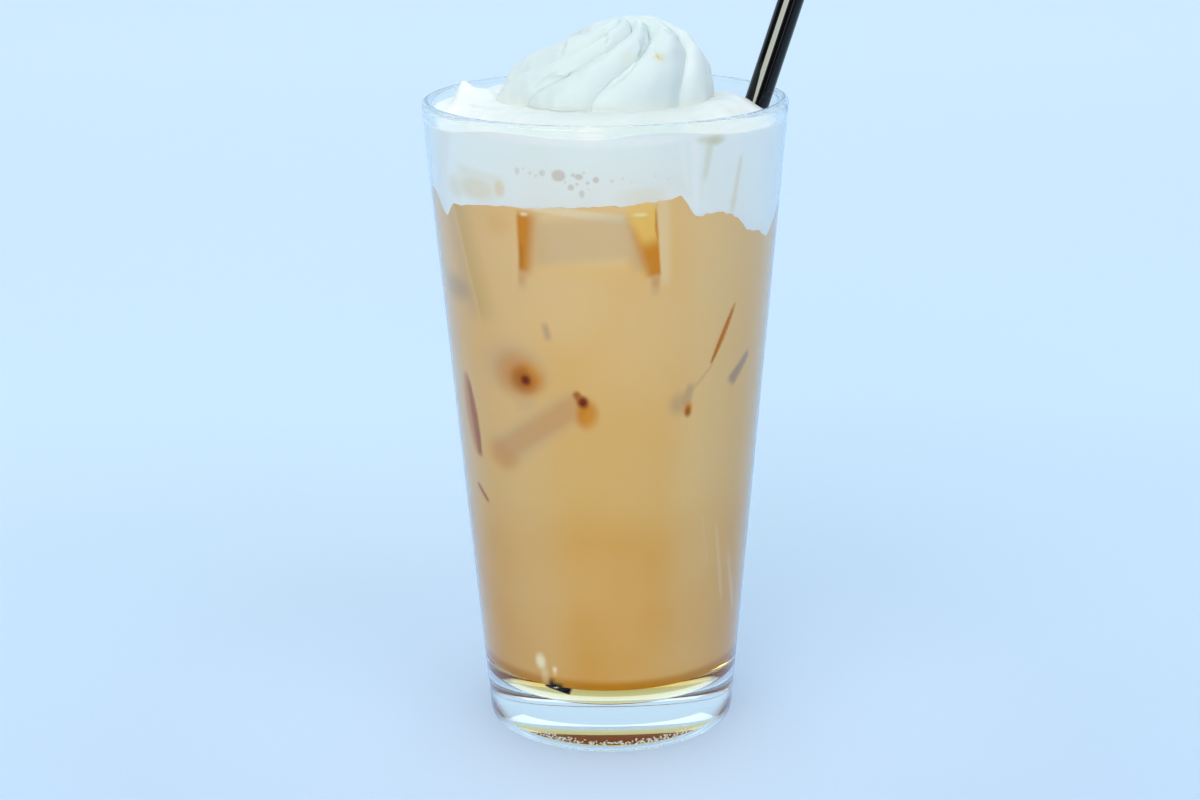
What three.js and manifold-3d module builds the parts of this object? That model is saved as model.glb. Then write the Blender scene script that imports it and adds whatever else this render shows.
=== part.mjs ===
// Iced latte in a straight-sided pint glass, with whipped cream and a drinking straw.
// Millimetres, +Z up. The origin is the middle of the glass's flat underside.
// The glass is a turned body, open at the top, and the latte fills it from the floor up to
// the cream. The cream presses on the wall and rises over the rim as one piped swirl.
// The straw stands on the floor at the front left and leans on the lip at the right.

import * as THREE from 'three'
import { mergeVertices } from 'three/addons/utils/BufferGeometryUtils.js'
import Module from 'manifold-3d'

// Glass
const glassHeight = 159.1
const glassTopRadius = 44.45
const glassBottomRadius = 31.3
const heelRadius = 1.2
const lipRadius = 1.28
const floorThickness = 12.6
const cavityBottomRadius = 28.36
const floorCornerRadius = 3

// Space left between two pieces that touch
const touchGap = 0.3

// Straw
const strawRadius = 3.1
const strawWall = 0.45
const strawLength = 197
const strawFoot = new THREE.Vector3(-12.2, -21.3, 14.5)
const strawAtRim = new THREE.Vector3(38, 4.6, glassHeight)
const strawSides = 20

// Level where latte ends and cream begins: in the middle, and round the wall
const creamFootLevel = 140
const creamFootInset = 16
const creamFootByAngle = [
  [-165, 139],
  [-156, 134],
  [-149, 137.6],
  [-126, 139.2],
  [-90, 140.3],
  [-72, 141],
  [-66, 142.2],
  [-60, 136.6],
  [-50, 137.2],
  [-43, 134.7],
  [-34, 130.7],
  [-22, 128],
  [-8, 134],
  [30, 138],
  [75, 141],
  [120, 138],
  [160, 140],
]

// Upper edge of the cream where it meets the wall
const creamLipByAngle = [
  [-154, 154.8],
  [-124, 156.8],
  [-95, 156],
  [-76, 157.2],
  [-39, 155],
  [0, 154.4],
  [60, 154.8],
  [120, 155.8],
  [170, 156.8],
]

// Shelf of cream round the swirl, seen above the wall's edge
const shelfLevel = 159.4
const shelfDropAtStraw = 2
const shelfDropAngle = 45
const shelfDropWidth = 40

// Piped swirl
const swirlApexX = 3.5
const swirlMiddleX = 0
const swirlRadius = 26.8
const swirlHeight = 18.8
const swirlTwist = 1.9
const foldDepth = 0.2
const foldOutline = 0.07

// Where the valleys between folds lie at the apex, in sevenths of a turn
const foldValleys = [0.07, 1.1, 1.8, 3, 4.2, 5.6, 6.35]

// Raised cream on the left of the shelf: a pointed curl, its tail and a lump at the wall
const raisedCream = [
  { x: -34.4, y: 2, width: 2.4, height: 4.2 },
  { x: -29.5, y: 0.5, width: 3.6, height: 1.8 },
  { x: -37, y: -9, width: 3.4, height: 1.8 },
]

// Facets
const roundSides = 84
const arcStep = 18
const swirlRings = 12
const shelfRings = 6
const wallRings = 2
const footRings = 6

const degrees = Math.PI / 180

// Straight runs of the glass: the outer wall and the wall of the cavity
const lipCentreRadius = glassTopRadius - lipRadius
const lipCentreHeight = glassHeight - lipRadius
const cavityTopRadius = glassTopRadius - 2 * lipRadius
const outerSlope = Math.atan2(glassTopRadius - glassBottomRadius, lipCentreHeight - heelRadius)
const cavitySlope = Math.atan2(
  cavityTopRadius - cavityBottomRadius, lipCentreHeight - floorThickness
)

function arc(centreRadius, centreHeight, radius, from, to) {
  const steps = Math.ceil(Math.abs(to - from) / (arcStep * degrees))
  const points = []
  for (let i = 0; i <= steps; i++) {
    const angle = from + ((to - from) * i) / steps
    points.push(
      new THREE.Vector2(
        centreRadius + radius * Math.cos(angle),
        centreHeight + radius * Math.sin(angle)
      )
    )
  }
  return points
}

function turned(profile, sides) {
  return new THREE.LatheGeometry(profile, sides).rotateX(Math.PI / 2)
}

// One turned body: up the outer wall, over the rounded lip and down to the cavity's floor
function glassGeometry() {
  const heel = arc(
    glassBottomRadius - heelRadius, heelRadius, heelRadius, -Math.PI / 2, -outerSlope
  )
  const lip = arc(
    lipCentreRadius, lipCentreHeight, lipRadius, -outerSlope, Math.PI - cavitySlope
  )
  const corner = arc(
    cavityBottomRadius - floorCornerRadius, floorThickness + floorCornerRadius,
    floorCornerRadius, -cavitySlope, -Math.PI / 2
  )
  const underside = new THREE.Vector2(0, 0)
  const floor = new THREE.Vector2(0, floorThickness)
  return turned([underside, ...heel, ...lip, ...corner, floor], roundSides)
}

function strawGeometry(radius, wall, length) {
  const bore = radius - wall
  const profile = [
    new THREE.Vector2(bore, 0),
    new THREE.Vector2(radius, 0),
    new THREE.Vector2(radius, length),
    new THREE.Vector2(bore, length),
    new THREE.Vector2(bore, 0),
  ]
  return turned(profile, strawSides)
}

const strawTurn = new THREE.Quaternion().setFromUnitVectors(
  new THREE.Vector3(0, 0, 1),
  strawAtRim.clone().sub(strawFoot).normalize()
)

// Smooth level round the glass through [angle in degrees, level] stations
function levelAt(stations, angle) {
  const turn = 360
  const a = ((((angle / degrees) - stations[0][0]) % turn) + turn) % turn + stations[0][0]
  const count = stations.length
  let i = count - 1
  while (stations[i][0] > a) i--
  const [a0, z0] = stations[i]
  const [a1, z1] = i + 1 < count ? stations[i + 1] : [stations[0][0] + turn, stations[0][1]]
  return z0 + (z1 - z0) * smooth((a - a0) / (a1 - a0))
}

function smooth(t) {
  const s = Math.min(Math.max(t, 0), 1)
  return s * s * (3 - 2 * s)
}

function mix(a, b, t) {
  return a + (b - a) * t
}

// Radius of what fills the glass, a gap inside the cavity's straight wall
function fillRadius(z) {
  return cavityBottomRadius - touchGap + (z - floorThickness) * Math.tan(cavitySlope)
}

function raisedHeight(x, y) {
  let height = 0
  for (const form of raisedCream) {
    const far = ((x - form.x) ** 2 + (y - form.y) ** 2) / (form.width * form.width)
    height += form.height * Math.exp(-far)
  }
  return height
}

// The shelf is level but for a dip at the straw, and it bends down to its edge at the wall
function shelfHeight(x, y) {
  const angle = Math.atan2(y, x)
  const radius = Math.hypot(x, y)
  const offStraw = (angle / degrees - shelfDropAngle) / shelfDropWidth
  const outward = smooth((radius - swirlRadius) / (cavityTopRadius - swirlRadius))
  const dip = shelfDropAtStraw * Math.exp(-offStraw * offStraw) * smooth((radius - 12) / 16)
  const level = shelfLevel - dip
  const edge = Math.min(levelAt(creamLipByAngle, angle), level)
  return mix(level, edge, outward * outward) + raisedHeight(x, y)
}

// Distance from the swirl's apex to its foot, for a round foot whose middle is off the apex
function swirlReach(angle) {
  const along = (swirlMiddleX - swirlApexX) * Math.cos(angle)
  const offset = swirlMiddleX - swirlApexX
  return along + Math.sqrt(swirlRadius * swirlRadius - offset * offset + along * along)
}

// Share of the way across a fold, from one valley at 0 to the next at 1
function foldShare(turn) {
  const count = foldValleys.length
  const first = foldValleys[0]
  const place = ((((turn * count) / (2 * Math.PI) - first) % count) + count) % count + first
  let i = count - 1
  while (foldValleys[i] > place) i--
  const next = i + 1 < count ? foldValleys[i + 1] : first + count
  return (place - foldValleys[i]) / (next - foldValleys[i])
}

// A point of the swirl: share is 0 at the apex and 1 at the foot, turn follows one fold.
// Folds are round lobes with sharp valleys between them, wound down from the apex.
function swirlPoint(share, turn) {
  const angle = turn - swirlTwist * share
  const lobe = Math.abs(Math.sin(Math.PI * foldShare(turn))) ** 0.8
  const valley = (1 - lobe) * smooth(share / 0.4)
  const reach = swirlReach(angle) * (1 - foldOutline * valley)
  const right = 0.5 + 0.5 * Math.cos(angle)
  const spread = mix(1.05, 2.5, right)
  const rise = mix(1.8, 2.5, right)
  const fullness = (1 - share ** spread) ** (1 / rise)
  const x = swirlApexX + share * reach * Math.cos(angle)
  const y = share * reach * Math.sin(angle)
  const z = shelfHeight(x, y) + swirlHeight * fullness * (1 - foldDepth * valley)
  return new THREE.Vector3(x, y, z)
}

// A point of the surface between latte and cream: out is 0 in the middle and 1 at the wall
function footPoint(out, angle, lift) {
  const wallLevel = levelAt(creamFootByAngle, angle)
  const inset = 1 - (1 - out) * (fillRadius(creamFootLevel) / creamFootInset)
  const z = mix(creamFootLevel, wallLevel, smooth(inset)) + lift
  const radius = out * fillRadius(z)
  return new THREE.Vector3(radius * Math.cos(angle), radius * Math.sin(angle), z)
}

function wallPoint(z, angle) {
  const radius = fillRadius(z)
  return new THREE.Vector3(radius * Math.cos(angle), radius * Math.sin(angle), z)
}

function ring(pointAt) {
  const points = []
  for (let j = 0; j < roundSides; j++) {
    points.push(pointAt((2 * Math.PI * j) / roundSides))
  }
  return points
}

// Closed body from a bottom point, a stack of rings that run anticlockwise, and a top point.
// Each four-sided patch is split along its shorter diagonal, so that facing bodies match.
function stacked(bottom, rings, top) {
  const points = [bottom, ...rings.flat(), top]
  const triangles = []
  const sides = roundSides
  const at = (k, j) => 1 + k * sides + (j % sides)
  const last = points.length - 1
  for (let j = 0; j < sides; j++) {
    triangles.push(0, at(0, j + 1), at(0, j))
    for (let k = 0; k + 1 < rings.length; k++) {
      const [a, b, c, d] = [at(k, j), at(k, j + 1), at(k + 1, j + 1), at(k + 1, j)]
      if (points[a].distanceTo(points[c]) < points[b].distanceTo(points[d])) {
        triangles.push(a, b, c, a, c, d)
      } else {
        triangles.push(a, b, d, b, c, d)
      }
    }
    triangles.push(last, at(rings.length - 1, j), at(rings.length - 1, j + 1))
  }
  const positions = points.flatMap((p) => [p.x, p.y, p.z])
  const geometry = new THREE.BufferGeometry()
  geometry.setAttribute('position', new THREE.Float32BufferAttribute(positions, 3))
  geometry.setIndex(triangles)
  return geometry
}

// From the floor, round the corner, up the wall and in over the top
function latteGeometry() {
  const floor = floorThickness + touchGap
  const cornerRadius = floorCornerRadius
  const corner = arc(
    cavityBottomRadius - touchGap - cornerRadius, floor + cornerRadius,
    cornerRadius, -Math.PI / 2, -cavitySlope
  )
  const rings = corner.map((p) =>
    ring((angle) => new THREE.Vector3(p.x * Math.cos(angle), p.x * Math.sin(angle), p.y))
  )
  for (let k = footRings; k > 0; k--) {
    rings.push(ring((angle) => footPoint(k / footRings, angle, -touchGap / 2)))
  }
  const bottom = new THREE.Vector3(0, 0, floor)
  const top = new THREE.Vector3(0, 0, creamFootLevel - touchGap / 2)
  return stacked(bottom, rings, top)
}

// From the latte out to the wall, up the wall, in over the shelf and up the swirl
function creamGeometry() {
  const rings = []
  for (let k = 1; k <= footRings; k++) {
    rings.push(ring((angle) => footPoint(k / footRings, angle, touchGap / 2)))
  }
  const edge = (angle) => levelAt(creamLipByAngle, angle)
  for (let k = 1; k <= wallRings; k++) {
    const foot = (angle) => levelAt(creamFootByAngle, angle) + touchGap / 2
    rings.push(ring((angle) => wallPoint(mix(foot(angle), edge(angle), k / wallRings), angle)))
  }
  for (let k = 1; k <= shelfRings; k++) {
    rings.push(
      ring((angle) => {
        const start = wallPoint(edge(angle), angle)
        const end = swirlPoint(1, angle + swirlTwist)
        const x = mix(start.x, end.x, k / shelfRings)
        const y = mix(start.y, end.y, k / shelfRings)
        return new THREE.Vector3(x, y, shelfHeight(x, y))
      })
    )
  }
  for (let k = swirlRings - 1; k > 0; k--) {
    const share = Math.sin((Math.PI / 2) * (k / swirlRings))
    rings.push(ring((angle) => swirlPoint(share, angle + swirlTwist)))
  }
  const bottom = new THREE.Vector3(0, 0, creamFootLevel + touchGap / 2)
  return stacked(bottom, rings, swirlPoint(0, 0))
}

const wasm = await Module()
wasm.setup()

function solidOf(geometry) {
  const bare = geometry.clone()
  bare.deleteAttribute('normal')
  bare.deleteAttribute('uv')
  const merged = mergeVertices(bare, 1e-4)
  return new wasm.Manifold(
    new wasm.Mesh({
      numProp: 3,
      vertProperties: new Float32Array(merged.attributes.position.array),
      triVerts: new Uint32Array(merged.index.array),
    })
  )
}

function geometryOf(solid) {
  const mesh = solid.getMesh()
  const geometry = new THREE.BufferGeometry()
  geometry.setAttribute('position', new THREE.BufferAttribute(mesh.vertProperties, 3))
  geometry.setIndex(new THREE.BufferAttribute(mesh.triVerts, 1))
  return geometry
}

// The hole round the straw, from below its foot to above the cream
function strawHole() {
  const below = 6
  const radius = strawRadius + touchGap
  const profile = [
    new THREE.Vector2(0, -below),
    new THREE.Vector2(radius, -below),
    new THREE.Vector2(radius, strawLength),
    new THREE.Vector2(0, strawLength),
  ]
  const geometry = turned(profile, strawSides)
  return solidOf(geometry.applyQuaternion(strawTurn).translate(...strawFoot))
}

const hole = strawHole()

function cutRoundStraw(geometry) {
  return geometryOf(solidOf(geometry).subtract(hole))
}

const clearGlass = new THREE.MeshStandardMaterial({
  color: 0xe6f2f4, roughness: 0.03, metalness: 0, transparent: true, opacity: 0.35,
})
const milkyCoffee = new THREE.MeshStandardMaterial({
  color: 0xd2ac76, roughness: 0.25, metalness: 0,
})
const sweetCream = new THREE.MeshStandardMaterial({
  color: 0xf4f3ec, roughness: 0.55, metalness: 0,
})
const blackPlastic = new THREE.MeshStandardMaterial({
  color: 0x0b0b0c, roughness: 0.12, metalness: 0,
})

function piece(name, geometry, material) {
  const mesh = new THREE.Mesh(geometry, material)
  mesh.name = name
  return mesh
}

const straw = piece('straw', strawGeometry(strawRadius, strawWall, strawLength), blackPlastic)
straw.position.copy(strawFoot)
straw.quaternion.copy(strawTurn)

const icedLatte = new THREE.Group()
icedLatte.add(
  piece('glass', glassGeometry(), clearGlass),
  piece('latte', cutRoundStraw(latteGeometry()), milkyCoffee),
  piece('whipped_cream', cutRoundStraw(creamGeometry()), sweetCream),
  straw
)

export default icedLatte
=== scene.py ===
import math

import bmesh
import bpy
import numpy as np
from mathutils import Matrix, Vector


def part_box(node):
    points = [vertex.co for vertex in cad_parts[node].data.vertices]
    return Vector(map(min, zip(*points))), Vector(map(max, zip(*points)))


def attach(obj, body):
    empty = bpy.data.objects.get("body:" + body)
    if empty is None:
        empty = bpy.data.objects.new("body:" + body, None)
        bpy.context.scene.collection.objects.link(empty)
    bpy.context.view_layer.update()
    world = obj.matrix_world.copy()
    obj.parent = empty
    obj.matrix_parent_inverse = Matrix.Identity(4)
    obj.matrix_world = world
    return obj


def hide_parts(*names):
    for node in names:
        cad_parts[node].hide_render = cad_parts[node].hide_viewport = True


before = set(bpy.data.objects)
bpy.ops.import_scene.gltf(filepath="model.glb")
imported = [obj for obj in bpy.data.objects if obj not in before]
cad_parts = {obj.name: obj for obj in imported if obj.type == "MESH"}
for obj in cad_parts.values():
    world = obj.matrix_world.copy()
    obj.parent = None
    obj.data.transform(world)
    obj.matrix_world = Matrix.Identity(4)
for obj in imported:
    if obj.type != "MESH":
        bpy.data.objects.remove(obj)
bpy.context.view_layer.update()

# %% [markdown]
# # An iced latte in a pint glass
#
# The drink is milky coffee with ice, whipped cream on top and one black straw, in a clear
# straight-sided glass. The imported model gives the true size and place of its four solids. This
# lesson dresses each of them: a fine surface replaces the faceted solid, in the same place, and
# ice cubes are added inside the drink, where no solid shows them.
#
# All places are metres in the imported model's frame: the origin is the middle of the glass's
# underside, +Z is up, and +Y points away from the viewer. Sizes are written in millimetres and
# multiplied by `MM`.

MM = 0.001

# %% [markdown]
# ## Sizes of the glass
#
# The glass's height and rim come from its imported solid. The other radii are those of the solid
# too, in millimetres, because a box doesn't tell them.

# %% Glass sizes
_, glass_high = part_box("glass")
glass_height = glass_high.z / MM
glass_top_radius = glass_high.x / MM
glass_bottom_radius = 31.3
heel_radius = 1.2
lip_radius = 1.28
floor_thickness = 12.6
cavity_bottom_radius = 28.36
milk_level = 16.7
lip_centre_radius = glass_top_radius - lip_radius
lip_centre_height = glass_height - lip_radius
cavity_top_radius = glass_top_radius - 2 * lip_radius
outer_slope = math.atan2(glass_top_radius - glass_bottom_radius, lip_centre_height - heel_radius)
cavity_slope = math.atan2(
    cavity_top_radius - cavity_bottom_radius, lip_centre_height - floor_thickness
)
print("glass", glass_height, "mm tall,", 2 * glass_top_radius, "mm across the rim")


def cavity_radius(z):
    """Radius of the cavity's wall at height z: the floor's radius plus climb times slope."""
    return cavity_bottom_radius + (z - floor_thickness) * math.tan(cavity_slope)


# %% [markdown]
# ## Camera
#
# The camera stands a little over half a metre in front of the glass, looks down by about
# sixteen degrees and is rolled by a fraction of a degree. These numbers were found by fitting
# the glass's rim and foot to the photograph's outline, which is surer than turning it by eye.

# %% Camera
camera_place = (-2.04 * MM, -567.7 * MM, 247.6 * MM)
camera_down = math.radians(16.22)
camera_roll = math.radians(-0.665)
camera_lens = 70.56
camera_sensor = 36.0

camera_data = bpy.data.cameras.new("camera")
camera_data.lens = camera_lens
camera_data.sensor_width = camera_sensor
camera_data.clip_start = 0.01
camera_data.clip_end = 20.0
camera = bpy.data.objects.new("camera", camera_data)
bpy.context.scene.collection.objects.link(camera)
camera.matrix_world = (
    Matrix.Translation(camera_place)
    @ Matrix.Rotation(math.pi / 2 - camera_down, 4, "X")
    @ Matrix.Rotation(camera_roll, 4, "Z")
)
bpy.context.scene.camera = camera
bpy.context.scene.view_settings.view_transform = "Standard"
print("camera lens", camera_lens, "mm")

# %% [markdown]
# ## Floor
#
# The drink stands on pale blue card that fills the frame. One large flat face is enough, and
# its colour changes slowly with distance, with painted shade that darkens it towards the viewer.
# First come the helpers that every piece uses: colours, nodes, materials and meshes.


# %% Helpers for colours and nodes
def linear(hex_colour):
    """sRGB hex to linear RGBA: each channel to the power that the sRGB curve gives."""
    channels = [int(hex_colour[i:i + 2], 16) / 255 for i in (1, 3, 5)]
    curve = [c / 12.92 if c <= 0.04045 else ((c + 0.055) / 1.055) ** 2.4 for c in channels]
    return (*curve, 1.0)


def add(tree, kind, settings=None, **links):
    """Add a node, set its properties and socket values, and link its inputs.

    A name with underscores stands for a socket name with spaces, and _6 for socket number 6. A
    link's value is an output socket of another node, and a number or colour is set on the socket
    itself. On a Mix node that blends colours, 6 and 7 are the colours and output 2 the result.
    """
    node = tree.nodes.new(kind)
    for name, value in (settings or {}).items():
        setattr(node, name, value)
    for name, value in links.items():
        socket = node.inputs[int(name[1:]) if name[1:].isdigit() else name.replace("_", " ")]
        if isinstance(value, bpy.types.NodeSocket):
            tree.links.new(value, socket)
        else:
            socket.default_value = value
    return node


def new_material(name):
    """A node material and its node tree, still empty."""
    material = bpy.data.materials.new(name)
    material.use_nodes = True
    material.node_tree.nodes.clear()
    return material, material.node_tree


def finished(material, **looks):
    """The material with a Principled shader of the given looks, joined to its output."""
    shader = add(material.node_tree, "ShaderNodeBsdfPrincipled", **looks)
    add(material.node_tree, "ShaderNodeOutputMaterial", Surface=shader.outputs[0])
    return material


# %% Helper for meshes
def mesh_piece(name, points, faces, material):
    """A smooth mesh object at the origin from an array of points in millimetres and its faces."""
    mesh = bpy.data.meshes.new(name)
    mesh.from_pydata((np.asarray(points) * MM).tolist(), [], faces)
    mesh.shade_smooth()
    mesh.materials.append(material)
    mesh.update()
    piece = bpy.data.objects.new(name, mesh)
    bpy.context.scene.collection.objects.link(piece)
    return piece


# %% Floor
floor_half = 4.0
floor_drop = 0.05 * MM


def floor_material():
    """Matt pale blue card, with painted shade: it is a little darker towards the viewer, as the
    photograph shows.

    Round the glass it is lighter, in place of the light that clear glass bends down to it.
    """
    material, tree = new_material("matt_card")
    place = add(tree, "ShaderNodeTexCoord")
    split = add(tree, "ShaderNodeSeparateXYZ", Vector=place.outputs["Object"])
    share = add(
        tree, "ShaderNodeMapRange", Value=split.outputs["Y"],
        From_Min=-0.25, From_Max=1.2,
    )
    # Painted shade: the card's colour darkens towards the viewer, as the light falls off there.
    ramp = add(tree, "ShaderNodeValToRGB", Fac=share.outputs["Result"])
    ramp.color_ramp.elements[0].color = linear("#bbcfe9")
    ramp.color_ramp.elements[1].color = linear("#daebf9")
    ramp.color_ramp.elements.new(0.37).color = linear("#d4e8f7")
    far = add(
        tree, "ShaderNodeVectorMath", {"operation": "LENGTH"}, _0=place.outputs["Object"]
    )
    near = add(
        tree, "ShaderNodeMapRange", {"interpolation_type": "SMOOTHSTEP"},
        Value=far.outputs["Value"], From_Min=0.04, From_Max=0.13, To_Min=1.0, To_Max=0.0,
    )
    lighter = add(
        tree, "ShaderNodeMix", {"data_type": "RGBA"}, Factor=near.outputs["Result"],
        _6=ramp.outputs["Color"], _7=linear("#cfe3fb"),
    )
    return finished(
        material, Base_Color=lighter.outputs[2], Roughness=0.9, Specular_IOR_Level=0.1
    )


floor_corners = [(-1, -1), (1, -1), (1, 1), (-1, 1)]
floor_points = [
    (x * floor_half / MM, y * floor_half / MM, -floor_drop / MM) for x, y in floor_corners
]
floor = mesh_piece("floor", floor_points, [(0, 1, 2, 3)], floor_material())
print("floor", 2 * floor_half, "m wide")

# %% [markdown]
# ## Light
#
# The light is soft: a pale world that is bright above and dim near the horizon, as a studio's
# walls are, and large lamps. The camera itself sees a plain pale backdrop. A long lamp at the
# left, the glint, shows in reflections only, and the straw mirrors it as one clear stripe. The
# strip beside it gives light and isn't mirrored. One lamp for both would be too bright for one.

# %% World
world = bpy.data.worlds.new("studio")
world.use_nodes = True
bpy.context.scene.world = world
sky = world.node_tree
sky.nodes.clear()
direction = add(sky, "ShaderNodeTexCoord")
parts = add(sky, "ShaderNodeSeparateXYZ", Vector=direction.outputs["Generated"])
height = add(
    sky, "ShaderNodeMapRange", {"interpolation_type": "SMOOTHSTEP"},
    Value=parts.outputs["Z"], From_Min=0.35, From_Max=0.75, To_Min=0.12, To_Max=1.2,
)
behind = add(
    sky, "ShaderNodeMapRange", {"interpolation_type": "SMOOTHSTEP"},
    Value=parts.outputs["Y"], From_Min=0.2, From_Max=0.6, To_Min=0.0, To_Max=0.95,
)
strength = add(
    sky, "ShaderNodeMath", {"operation": "MAXIMUM"},
    _0=height.outputs["Result"], _1=behind.outputs["Result"],
)
tint = add(
    sky, "ShaderNodeMix", {"data_type": "RGBA"}, Factor=behind.outputs["Result"],
    _6=linear("#eef6fc"), _7=linear("#cbe8fe"),
)
glow = add(
    sky, "ShaderNodeBackground", Color=tint.outputs[2], Strength=strength.outputs[0],
)
backdrop = add(sky, "ShaderNodeBackground", Color=linear("#cdebfe"), Strength=1.0)
path = add(sky, "ShaderNodeLightPath")
seen = add(
    sky, "ShaderNodeMixShader", _0=path.outputs["Is Camera Ray"], _1=glow.outputs[0],
    _2=backdrop.outputs[0],
)
add(sky, "ShaderNodeOutputWorld", Surface=seen.outputs[0])
print("world", world.name)


# %% Lamps
def lamp(name, place, aim, width, height, power, colour, roll=0.0):
    """A soft rectangular lamp at a place, aimed at a point, sizes in metres, power in watts.

    roll turns it about its own beam, in degrees.
    """
    data = bpy.data.lights.new(name, "AREA")
    data.shape = "RECTANGLE"
    data.size = width
    data.size_y = height
    data.energy = power
    data.color = linear(colour)[:3]
    lamp_object = bpy.data.objects.new(name, data)
    bpy.context.scene.collection.objects.link(lamp_object)
    back = Vector(place) - Vector(aim)
    lamp_object.matrix_world = (
        Matrix.Translation(place) @ back.to_track_quat("Z", "Y").to_matrix().to_4x4()
        @ Matrix.Rotation(math.radians(roll), 4, "Z")
    )
    return lamp_object


straw_aim = (0.046, 0.009, 0.184)
lamp("key", (-0.42, -1.3, 0.75), (0, 0, 0.12), 0.6, 0.9, 2.2, "#fffaf4")
strip = lamp("strip", (-0.362, -0.974, 0.62), straw_aim, 1.42, 0.16, 4.4, "#fffcf2", -12.7)
glint = lamp("glint", (-0.646, -0.83, 0.691), straw_aim, 0.99, 0.2, 11.0, "#f8fff2", -7.0)
glint.visible_diffuse = False
strip.visible_glossy = False
lamp("fill", (0.9, -1.0, 0.7), (0, 0, 0.1), 1.0, 1.0, 3.7, "#e8f3ff")
lamp("back", (0.0, 1.6, 1.3), (0, 1.5, 0), 3.0, 1.2, 4.6, "#f4fafc")
print("straw's stripe comes from", glint.name)

# %% [markdown]
# ## Glass
#
# A pint glass is pressed soda-lime glass, fire-polished at the lip. Its surface is a turned
# profile, so the outline in one plane is enough: underside, rounded heel, straight wall, bead
# at the lip, and down the cavity to its floor. The underside is a little hollow, and that
# hollow throws the drink's colour back to the eye as a brown arc near the foot. The mesh is
# solid up to the milk: the clear syrup on the cavity's floor is a body of its own, sunk in it.
#
# A real lamp's rays bend through the glass and light the drink, which takes a renderer very
# long. So rays for shadow and soft light pass straight through, and only what is seen bends.


# %% Clear materials
def clear_material(name, ior, roughness, colour="#ffffff", mist=0.0):
    """Clear dielectric. Shadow and bounce rays pass straight through, so lamps reach inside.

    mist is the share of a faint film of cold dew, which greys the glass where it turns away.
    Glare is the strength of reflections seen straight on, which the photograph hardly shows.
    """
    glare = 0.3
    material, tree = new_material(name)
    body = add(
        tree, "ShaderNodeBsdfPrincipled", Base_Color=linear(colour), Roughness=roughness,
        IOR=ior, Transmission_Weight=1.0, Sheen_Weight=mist, Sheen_Roughness=0.36,
        Sheen_Tint=linear("#a8ccf0"), Specular_Tint=(glare, glare, glare, 1.0),
    )
    passing = add(tree, "ShaderNodeBsdfTransparent", Color=linear(colour))
    path = add(tree, "ShaderNodeLightPath")
    either = add(
        tree, "ShaderNodeMath", {"operation": "MAXIMUM"},
        _0=path.outputs["Is Shadow Ray"], _1=path.outputs["Is Diffuse Ray"],
    )
    mixed = add(
        tree, "ShaderNodeMixShader", _0=either.outputs[0], _1=body.outputs[0],
        _2=passing.outputs[0],
    )
    add(tree, "ShaderNodeOutputMaterial", Surface=mixed.outputs[0])
    return material


# %% Turned surfaces
def ring_angles(sides):
    """Evenly spaced angles of one whole turn, in radians."""
    return 2 * np.pi * np.arange(sides) / sides


def around(radius, angle, z):
    """Points round the axis, angles in radians: x = radius cos angle, y = radius sin angle."""
    return np.stack(
        np.broadcast_arrays(radius * np.cos(angle), radius * np.sin(angle), z), -1
    )


def turned_rings(profile, angles):
    """Carry a profile of (radius, height) rows round the axis, one ring for each row."""
    profile = np.asarray(profile)
    return around(profile[:, :1], angles, profile[:, 1:])


def arc(centre_radius, centre_height, radius, start, end, steps):
    """Points of an arc in the (radius, height) plane: centre plus radius times cos and sin."""
    turn = np.linspace(start, end, steps + 1)
    return np.stack(
        [centre_radius + radius * np.cos(turn), centre_height + radius * np.sin(turn)], -1
    )


near_ends = np.array([0.0016, 0.0125, 0.09, 0.91, 0.9875, 0.9984])


def straight(start, end):
    """Inner points of a straight run: the shares of its length given in near_ends.

    All are near its ends, where smooth shading would otherwise spread from the bend next to it.
    """
    return np.asarray(start) + near_ends[:, None] * (np.asarray(end) - np.asarray(start))


print("a straight run has points at the shares", near_ends)

# %% Closed stacks of rings
def ring_faces(rings, sides):
    """Four-sided faces between neighbouring rings: point (k, j) has the number k * sides + j."""
    k, j = np.meshgrid(np.arange(rings - 1), np.arange(sides), indexing="ij")
    a = k * sides + j
    b = k * sides + (j + 1) % sides
    return np.stack([a, b, b + sides, a + sides], -1).reshape(-1, 4).tolist()


def stack_faces(count, sides):
    """Faces of a closed stack of rings: the two poles come after the rings' points."""
    j = np.arange(sides)
    low = np.stack([np.full(sides, count * sides), (j + 1) % sides, j], -1)
    last = (count - 1) * sides
    high = np.stack([np.full(sides, count * sides + 1), last + j, last + (j + 1) % sides], -1)
    return ring_faces(count, sides) + low.tolist() + high.tolist()


def stacked_piece(name, rings, bottom, top, material):
    """A closed skin over a stack of rings that run anticlockwise, with a pole at each end."""
    points = np.concatenate([rings.reshape(-1, 3), [bottom], [top]])
    return mesh_piece(name, points, stack_faces(*rings.shape[:2]), material)


# %% Outline of the glass
dome_radius = 22.0
dome_height = 1.4
dome_power = 2
heel_width = 1.3
heel_rise = 2.2
heel_steps = 12
lip_steps = 18
fill_gap = 0.05
fill_middle = 0.2


def dome_level(radius):
    """Height of the hollow underside: its height times one less the square of radius's share."""
    return dome_height * (1 - np.minimum(radius / dome_radius, 1.0) ** dome_power)


dome_rows = dome_radius * np.concatenate([np.linspace(0.02, 0.84, 14), np.linspace(0.86, 1, 12)])
dome = np.stack([dome_rows, dome_level(dome_rows)], -1)


def heel_curve(width, rise):
    """A quarter ellipse from the flat underside to where it has the wall's slope.

    Its centre is set so that the ellipse touches the same straight wall as the small round
    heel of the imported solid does.
    """
    across, down = math.cos(outer_slope), math.sin(outer_slope)
    wall = across * (glass_bottom_radius - heel_radius) + (1 - down) * heel_radius
    reach = math.hypot(width * across, rise * down)
    middle = (wall + rise * down - reach) / across
    last = math.atan2(width, rise * math.tan(outer_slope))
    turn = np.linspace(0, last, heel_steps)
    return np.stack([middle + width * np.sin(turn), rise * (1 - np.cos(turn))], -1)


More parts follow.
